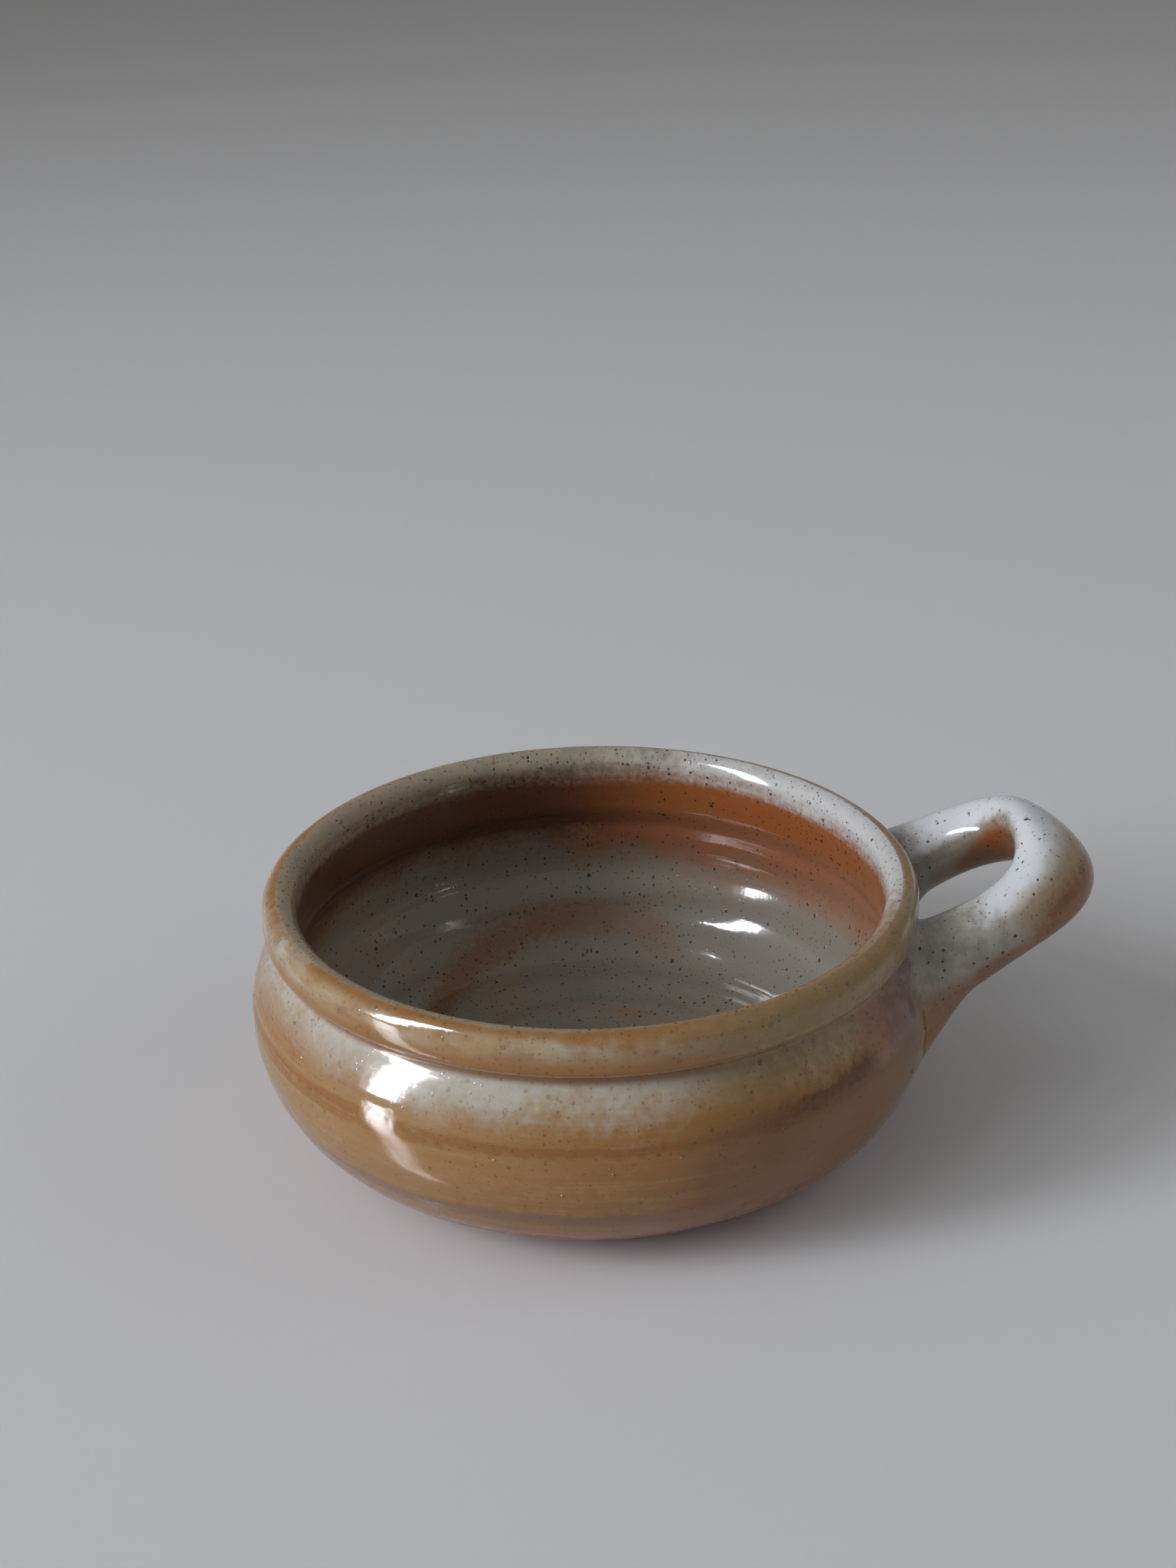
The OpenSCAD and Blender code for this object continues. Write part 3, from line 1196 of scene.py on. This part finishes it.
def bake_nodes(
    piece: bpy.types.Object, group: bpy.types.NodeTree, finish: bpy.types.Material, sizes: Sizes
) -> None:
    """Runs a geometry group on a piece and keeps the result as its plain mesh.

    Args:
        piece: the object that the group works on.
        group: the geometry group.
        finish: the material.
        sizes: the numbers for the group's inputs, by name.
    """
    modifier = piece.modifiers.new("shape", "NODES")
    modifier.node_group = group
    settings = {**sizes, "finish": finish}
    for item in group.interface.items_tree:
        if item.name in settings:
            modifier[item.identifier] = settings[item.name]
    evaluated = piece.evaluated_get(bpy.context.evaluated_depsgraph_get())
    mesh = bpy.data.meshes.new_from_object(evaluated)
    piece.modifiers.clear()
    piece.data = mesh
    for name in ("turn", "station", *STATION_NUMBERS):
        if name in mesh.attributes:
            mesh.attributes.remove(mesh.attributes[name])


def outward(piece: bpy.types.Object, crease: float = 50.0) -> None:
    """Points a closed piece's faces outwards and keeps its sharp edges sharp.

    Args:
        piece: the object.
        crease: the angle in degrees above which an edge stays sharp.
    """
    work = bmesh.new()
    work.from_mesh(piece.data)
    bmesh.ops.recalc_face_normals(work, faces=work.faces)
    work.to_mesh(piece.data)
    work.free()
    piece.data.set_sharp_from_angle(angle=math.radians(crease))


def seat(piece: bpy.types.Object, slot: str, *nodes: str) -> bpy.types.Object:
    """Puts a piece on the frame.

    Args:
        piece: the piece.
        slot: not used.
        nodes: the frame's nodes that it stands for.

    Returns:
        The piece.
    """
    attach(piece, BODY)
    if nodes:
        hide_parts(*nodes)
    return piece


@dataclass
class Bowl:
    """The thrown bowl: bare clay, the liner, the outside coat and the pips in it."""

    form: BowlForm = field(default_factory=BowlForm)
    wheel: Wheel = field(default_factory=Wheel)
    hem_w: float = 5.0 * MM
    crest_h: float = 20.0 * MM
    outer_ridge: Ridge = Ridge(0.13 * MM, 6.4 * MM)
    inner_ridge: Ridge = Ridge(0.95 * MM, 12.3 * MM, math.radians(-109))

    def shown(self, s: Station) -> Station:
        """Marks how much a station follows the ridges, which fade out at the rim's crest."""
        share = min(1.0, max(0.0, (self.form.height - s.z) / self.crest_h))
        return replace(s, skin=share)

    def hemmed(self, s: Station) -> Station:
        """Marks how much a station follows the uneven lower edge of the glaze."""
        share = max(0.0, 1 - (s.z - self.form.bare_h) / self.hem_w)
        return replace(s, skin=s.skin * (1 - share), hem=share)

    @staticmethod
    def hidden(stations: Iterable[Station]) -> List[Station]:
        """Takes the ridges off stations that lie against another piece."""
        return [replace(s, skin=0.0) for s in stations]

    def clay(self) -> bpy.types.Object:
        """Throws the clay, which shows at the foot.

        Returns:
            The piece.
        """
        form = self.form
        foot = form.disc(form.foot_r, 0.0, form.foot_steps, -1)
        line = [*reversed(form.inside(0.0)), *reversed(form.outside(0.0, 0.0)[:-1]), *foot]
        finish = BareClay("stoneware", Tint.CLAY).dress()
        piece = self.wheel.throw("bowl_clay", self.hidden(line), False, finish, Ridge())
        return seat(piece, "stoneware", "thrown_bowl")

    def liner(self) -> bpy.types.Object:
        """Throws the inside coat.

        Returns:
            The piece.
        """
        top = [self.shown(s) for s in reversed(self.form.inside(self.form.glaze_t))]
        line = [*top, *self.hidden(self.form.inside(0.0))]
        piece = self.wheel.throw("liner_coat", line, False, LinerGlaze().dress(), self.inner_ridge)
        return seat(piece, "liner_glaze", "liner_glaze")

    def wall(self) -> bpy.types.Object:
        """Throws the outside coat, with an uneven lower edge.

        Returns:
            The piece.
        """
        form = self.form
        top = [self.hemmed(self.shown(s)) for s in form.outside(form.glaze_t, form.bare_h)]
        under = [self.hemmed(s) for s in form.outside(0.0, form.bare_h)]
        line = [*top, *reversed(self.hidden(under))]
        finish = WallGlaze(edge_z=form.bare_h / MM).dress()
        piece = self.wheel.throw("outside_coat", line, True, finish, self.outer_ridge)
        return seat(piece, "wall_glaze", "wall_glaze")

    def pips(self, wall: bpy.types.Object) -> bpy.types.Object:
        """Scatters the pips over the outside coat.

        Args:
            wall: the outside coat.

        Returns:
            The pips as one piece.
        """
        return seat(Pips().scatter(wall), "wall_glaze")


@dataclass
class Ear:
    """The pulled ear: a strap bent into a loop, leaning inwards, its roots wiped into the wall."""

    form: BowlForm
    spread: float = 20.0 * MM
    reach: float = 93.8 * MM
    swell: float = 0.33
    root_z: float = 34.4 * MM
    crest_z: float = 51.3 * MM
    lean: float = math.radians(50)
    up: Three = (10.8 * MM, 7.1 * MM, 9.7 * MM)
    out: Three = (6.8 * MM, 6.8 * MM, 4.4 * MM)
    wipe_r: Three = (11.0 * MM, 5.0 * MM, 6.0 * MM)
    root_depth: float = 6.0 * MM
    section_power: float = 0.9
    rise_power: float = 0.9
    leg_share: float = 0.6
    wipe_stop: float = 0.985
    sink: float = 0.9 * MM
    rings: int = 150
    points: int = 72
    nudge: float = math.radians(0.5)
    search_from: float = math.radians(45)
    search_to: float = math.radians(-20)
    halvings: int = 20

    def middle(self, turn: float) -> Vector:
        """Follows the strap's middle line.

        Args:
            turn: the place along the loop, from 0 at the rear root to half a turn at the front.

        Returns:
            The point.
        """
        root_x = self.form.clay_r - self.root_depth
        s = math.sin(turn)
        return Vector((
            root_x + (self.reach - root_x) * s,
            self.spread * math.cos(turn) * (1 + self.swell * s * s),
            self.root_z + (self.crest_z - self.root_z) * max(s, 0.0) ** self.rise_power,
        ))

    def size(self, sizes: Three, s: float) -> float:
        """Passes through three sizes: at the root, along the leg and at the far end.

        Args:
            sizes: the three sizes.
            s: the sine of the place along the loop.

        Returns:
            The size there.
        """
        leg = self.leg_share
        return (
            sizes[0] * (1 - s) * (leg - s) / leg
            + sizes[1] * s * (1 - s) / (leg * (1 - leg))
            + sizes[2] * s * (s - leg) / (1 - leg)
        )

    def point(self, turn: float, around: float) -> Vector:
        """One point of the glazed strap.

        Args:
            turn: the place along the loop in radians. Below 0 and past half a turn, the strap
                runs straight on into the wall, a millimetre for each degree.
            around: the angle round the strap, from the outside upwards.

        Returns:
            The point.
        """
        held = min(max(turn, 0.0), math.pi)
        s = math.sin(held)
        lean = self.lean * s * s
        ahead, behind = min(held + self.nudge, math.pi), max(held - self.nudge, 0.0)
        way = self.middle(ahead) - self.middle(behind)
        level = Vector((-way.y, way.x, 0.0)).normalized()
        upright = Vector((0.0, 0.0, 1.0))
        across = math.cos(lean) * level + math.sin(lean) * upright
        along = math.cos(lean) * upright - math.sin(lean) * level
        cos, sin = math.cos(around), math.sin(around)
        aside = math.copysign(abs(cos) ** self.section_power, cos) * across
        rise = math.copysign(abs(sin) ** self.section_power, sin) * along
        p = self.middle(held) + self.size(self.out, s) * aside + self.size(self.up, s) * rise
        p.x -= math.degrees(abs(turn - held)) * MM
        end_r = self.wipe_r[0] if sin < 0 else self.wipe_r[2]
        r = self.wipe_r[1] + (end_r - self.wipe_r[1]) * abs(sin)
        full = r - self.form.glaze_t
        share = min(self.wipe_stop, max(0.0, r - self.apart(p)) / full)
        q = p + (r - full * math.sqrt(1 - share * share)) * (aside + rise)
        seating = (self.apart(p) - self.apart(q)) * Vector((q.x, q.y, 0.0)).normalized()
        return q + share / self.wipe_stop * seating

    def apart(self, p: Vector) -> float:
        """Distance of a point from the clay of the wall."""
        return math.hypot(p.x, p.y) - self.form.wall_r(min(p.z, self.form.groove_c.y))

    def root(self, around: float) -> float:
        """Finds where a line along the strap goes under the skin of the wall.

        Args:
            around: the line's angle round the strap.

        Returns:
            The place along the loop at the rear root.
        """

        def clear(turn: float) -> float:
            """Distance of the point from the sunk skin."""
            p = self.point(turn, around)
            return math.hypot(p.x, p.y) - self.form.skin_r(p.z) + self.sink

        outer = inner = self.search_from
        while clear(inner) > 0 and inner > self.search_to:
            outer, inner = inner, inner - self.nudge
        for _ in range(self.halvings):
            half = (outer + inner) / 2
            if clear(half) > 0:
                outer = half
            else:
                inner = half
        return inner

    def strap(self) -> bpy.types.Mesh:
        """Lofts the glazed strap between its two roots.

        Returns:
            The mesh, with a map of the way along the strap and of the angle from the level.
        """
        work = bmesh.new()
        starts = [self.root(TAU * j / self.points) for j in range(self.points)]
        rows, leans = [], []
        for i in range(self.rings + 1):
            share = 0.5 - 0.5 * math.cos(math.pi * i / self.rings)
            leans.append(self.lean * math.sin(math.pi * share) ** 2 / TAU)
            row = []
            for j, start in enumerate(starts):
                turn = start + (math.pi - 2 * start) * share
                row.append(work.verts.new(self.point(turn, TAU * j / self.points)))
            rows.append(row)
        places = work.loops.layers.uv.new("strap")
        for i in range(self.rings):
            for j in range(self.points):
                k = (j + 1) % self.points
                face = work.faces.new((rows[i][j], rows[i + 1][j], rows[i + 1][k], rows[i][k]))
                corners = (i, j), (i + 1, j), (i + 1, j + 1), (i, j + 1)
                for loop, (a, b) in zip(face.loops, corners):
                    loop[places].uv = (a / self.rings, b / self.points + leans[a])
        for row in (rows[0], rows[-1]):
            hub = work.verts.new(sum((v.co for v in row), Vector()) / self.points)
            for j in range(self.points):
                work.faces.new((row[j], row[(j + 1) % self.points], hub))
        for face in work.faces:
            face.smooth = True
        mesh = bpy.data.meshes.new("ear_coat")
        work.to_mesh(mesh)
        work.free()
        return mesh

    def coat(self) -> bpy.types.Object:
        """Makes the glazed strap that stands for the ear's coat.

        Returns:
            The piece.
        """
        piece = link("ear_coat", self.strap())
        piece.data.materials.append(EarGlaze().dress())
        outward(piece)
        return seat(piece, "handle_glaze", "handle_glaze")


@dataclass
class Pips:
    """Small raised pips in the outside glaze, over grit in the clay."""

    density: float = 4500.0
    lowest: float = 20.0 * MM
    highest: float = 42.0 * MM
    smallest: float = 0.22 * MM
    largest: float = 0.55 * MM
    flatness: float = 0.38
    seed: int = 11

    def group(self) -> bpy.types.NodeTree:
        """Builds the geometry group that scatters domes over the outer side of a coat.

        Returns:
            The group.
        """
        made = bpy.data.node_groups.new("scattered_pips", "GeometryNodeTree")
        given = open_group(made, "coat", "pips", sizes_of(self))
        t = given["coat"].tree
        place = t.term("Position", "GeometryNodeInputPosition")
        parts = t.node("ShaderNodeSeparateXYZ", None, {"Vector": place})
        height = Term(t, parts.outputs["Z"])
        level = t.combine(Term(t, parts.outputs["X"]), Term(t, parts.outputs["Y"]), 0.0)
        sides = {0: t.term("Normal", "GeometryNodeInputNormal"), 1: level}
        facing = t.term("Value", "ShaderNodeVectorMath", {"operation": "DOT_PRODUCT"}, sides)
        above = t.math("GREATER_THAN", height, given["lowest"])
        below = t.math("LESS_THAN", height, given["highest"])
        chosen = {
            "Mesh": given["coat"],
            "Selection": t.math("GREATER_THAN", facing, 0.0) * above * below,
            "Density": given["density"],
            "Seed": given["seed"],
        }
        points = t.node("GeometryNodeDistributePointsOnFaces", None, chosen)
        widths = {2: given["smallest"], 3: given["largest"], "Seed": given["seed"]}
        width = t.term(1, "FunctionNodeRandomValue", {"data_type": "FLOAT"}, widths)
        dome = {"Radius": 1.0, "Subdivisions": 3}
        spread = {
            "Points": Term(t, points.outputs["Points"]),
            "Instance": t.term("Mesh", "GeometryNodeMeshIcoSphere", None, dome),
            "Rotation": Term(t, points.outputs["Rotation"]),
            "Scale": t.combine(width, width, width * given["flatness"]),
        }
        domes = t.term("Instances", "GeometryNodeInstanceOnPoints", None, spread)
        close_group(t, domes, given["finish"])
        return made

    def scatter(self, coat: bpy.types.Object) -> bpy.types.Object:
        """Scatters the pips over a coat.

        Args:
            coat: the coat, which stays as it is and lends its material.

        Returns:
            The pips as one piece.
        """
        piece = link("glaze_pips", coat.data.copy())
        bake_nodes(piece, self.group(), coat.data.materials[0], sizes_of(self))
        return piece


def direction(bearing: float, elevation: float) -> Vector:
    """The unit vector towards a bearing and an elevation, in degrees."""
    a, e = math.radians(bearing), math.radians(elevation)
    return Vector((math.cos(a) * math.cos(e), math.sin(a) * math.cos(e), math.sin(e)))


class Glow(Enum):
    """How a lamp shows: as light or as a highlight, and the angle that it shines over."""

    LIGHT = (True, False, math.radians(80))
    GLINT = (False, True, math.pi)


@dataclass(frozen=True)
class Lamp:
    """A soft lamp: its way and distance from the pot, its width and height, and its watts."""

    name: str
    bearing: float
    elevation: float
    distance: float
    size: Tuple[float, float]
    power: float
    glow: Glow = Glow.LIGHT

    def hang(self) -> None:
        """Hangs the lamp so that it points at the pot."""
        data = bpy.data.lights.new(self.name, "AREA")
        data.shape = "RECTANGLE"
        data.size, data.size_y = self.size
        data.energy = self.power
        data.color = Tint.DAY.value
        made = link(self.name, data)
        way = direction(self.bearing, self.elevation)
        turn = way.to_track_quat("Z", "Y").to_matrix().to_4x4()
        made.matrix_world = Matrix.Translation(way * self.distance) @ turn
        made.visible_camera = False
        made.visible_diffuse, made.visible_glossy, data.spread = self.glow.value


@dataclass
class Stage:
    """The table, the soft lights and the camera."""

    table_r: float = 14.0
    table_sides: int = 96
    table_roughness: float = 0.6
    table_gloss: float = 0.05
    camera_distance: float = 478.43 * MM
    camera_bearing: float = -96.4
    camera_elevation: float = 32.359
    camera_tilt: float = 7.873
    camera_roll: float = -1.43
    long_side_view: float = 38.0
    sensor_w: float = 36.0
    nearest: float = 10.0 * MM
    room_light: float = 0.27

    def camera(self) -> None:
        """Sets the camera where the photograph was taken from."""
        data = bpy.data.cameras.new("camera")
        data.sensor_width = self.sensor_w
        data.lens = self.sensor_w / 2 / math.tan(math.radians(self.long_side_view / 2))
        data.clip_start = self.nearest
        eye = direction(self.camera_bearing, self.camera_elevation)
        turn = (-eye).to_track_quat("-Z", "Y").to_matrix()
        turn = turn @ Matrix.Rotation(math.radians(self.camera_tilt), 3, "X")
        turn = turn @ Matrix.Rotation(math.radians(self.camera_roll), 3, "Z")
        made = link("camera", data)
        made.matrix_world = Matrix.Translation(eye * self.camera_distance) @ turn.to_4x4()
        bpy.context.scene.camera = made

    def table(self) -> None:
        """Lays the plain pale table, which shines only where the glaze mirrors it."""
        work = bmesh.new()
        sides = self.table_sides
        bmesh.ops.create_circle(work, cap_ends=True, segments=sides, radius=self.table_r)
        mesh = bpy.data.meshes.new("table")
        work.to_mesh(mesh)
        work.free()
        s = Surface("table")
        plain = s.skin(Tint.TABLE, self.table_roughness, Specular_IOR_Level=0.0)
        waxed = s.skin(Tint.TABLE, self.table_gloss)
        mirrored = s.term("Is Glossy Ray", "ShaderNodeLightPath")
        both = s.term(0, "ShaderNodeMixShader", None, {0: mirrored, 1: plain, 2: waxed})
        mesh.materials.append(s.fire(both))
        link("table", mesh)

    def room(self) -> None:
        """Fills the room with plain soft light."""
        world = bpy.data.worlds.new("room")
        world.use_nodes = True
        back = world.node_tree.nodes["Background"]
        back.inputs["Color"].default_value = Tint.ROOM.rgba
        back.inputs["Strength"].default_value = self.room_light
        bpy.context.scene.world = world

    def set_up(self) -> None:
        """Builds the whole stage."""
        bpy.context.scene.view_settings.view_transform = "Standard"
        self.camera()
        self.table()
        self.room()
        for lamp in (
            Lamp("window", -166, 21, 2.5, (0.6, 1.6), 7.3),
            Lamp("window_glint", -166, 30, 2.5, (0.38, 2.2), 240.0, Glow.GLINT),
            Lamp("window_glow", -158, 40, 2.6, (1.8, 1.8), 4.2),
            Lamp("far_wall", -10, 35, 2.6, (2.2, 2.2), 1.85),
        ):
            lamp.hang()


def main() -> None:
    """Builds the stage, the bowl, the ear and the finishes of the pieces within."""
    logging.basicConfig(level=logging.INFO, format="%(message)s")
    Stage().set_up()
    bowl = Bowl()
    wall = bowl.wall()
    for piece in (bowl.clay(), bowl.liner(), wall, bowl.pips(wall), Ear(bowl.form).coat()):
        log.info("%s: %d faces", piece.name, len(piece.data.polygons))
    slip = BareClay("luting_slip", Tint.SLIP).dress()
    within = {
        "pulled_handle": BareClay("strap_clay", Tint.CLAY).dress(),
        "front_luting_slip": slip,
        "rear_luting_slip": slip,
    }
    for node, finish in within.items():
        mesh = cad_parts[node].data
        mesh.materials.clear()
        mesh.materials.append(finish)
        log.info("%s: frame's own solid, %s", node, finish.name)


if __name__ == "__main__":
    main()
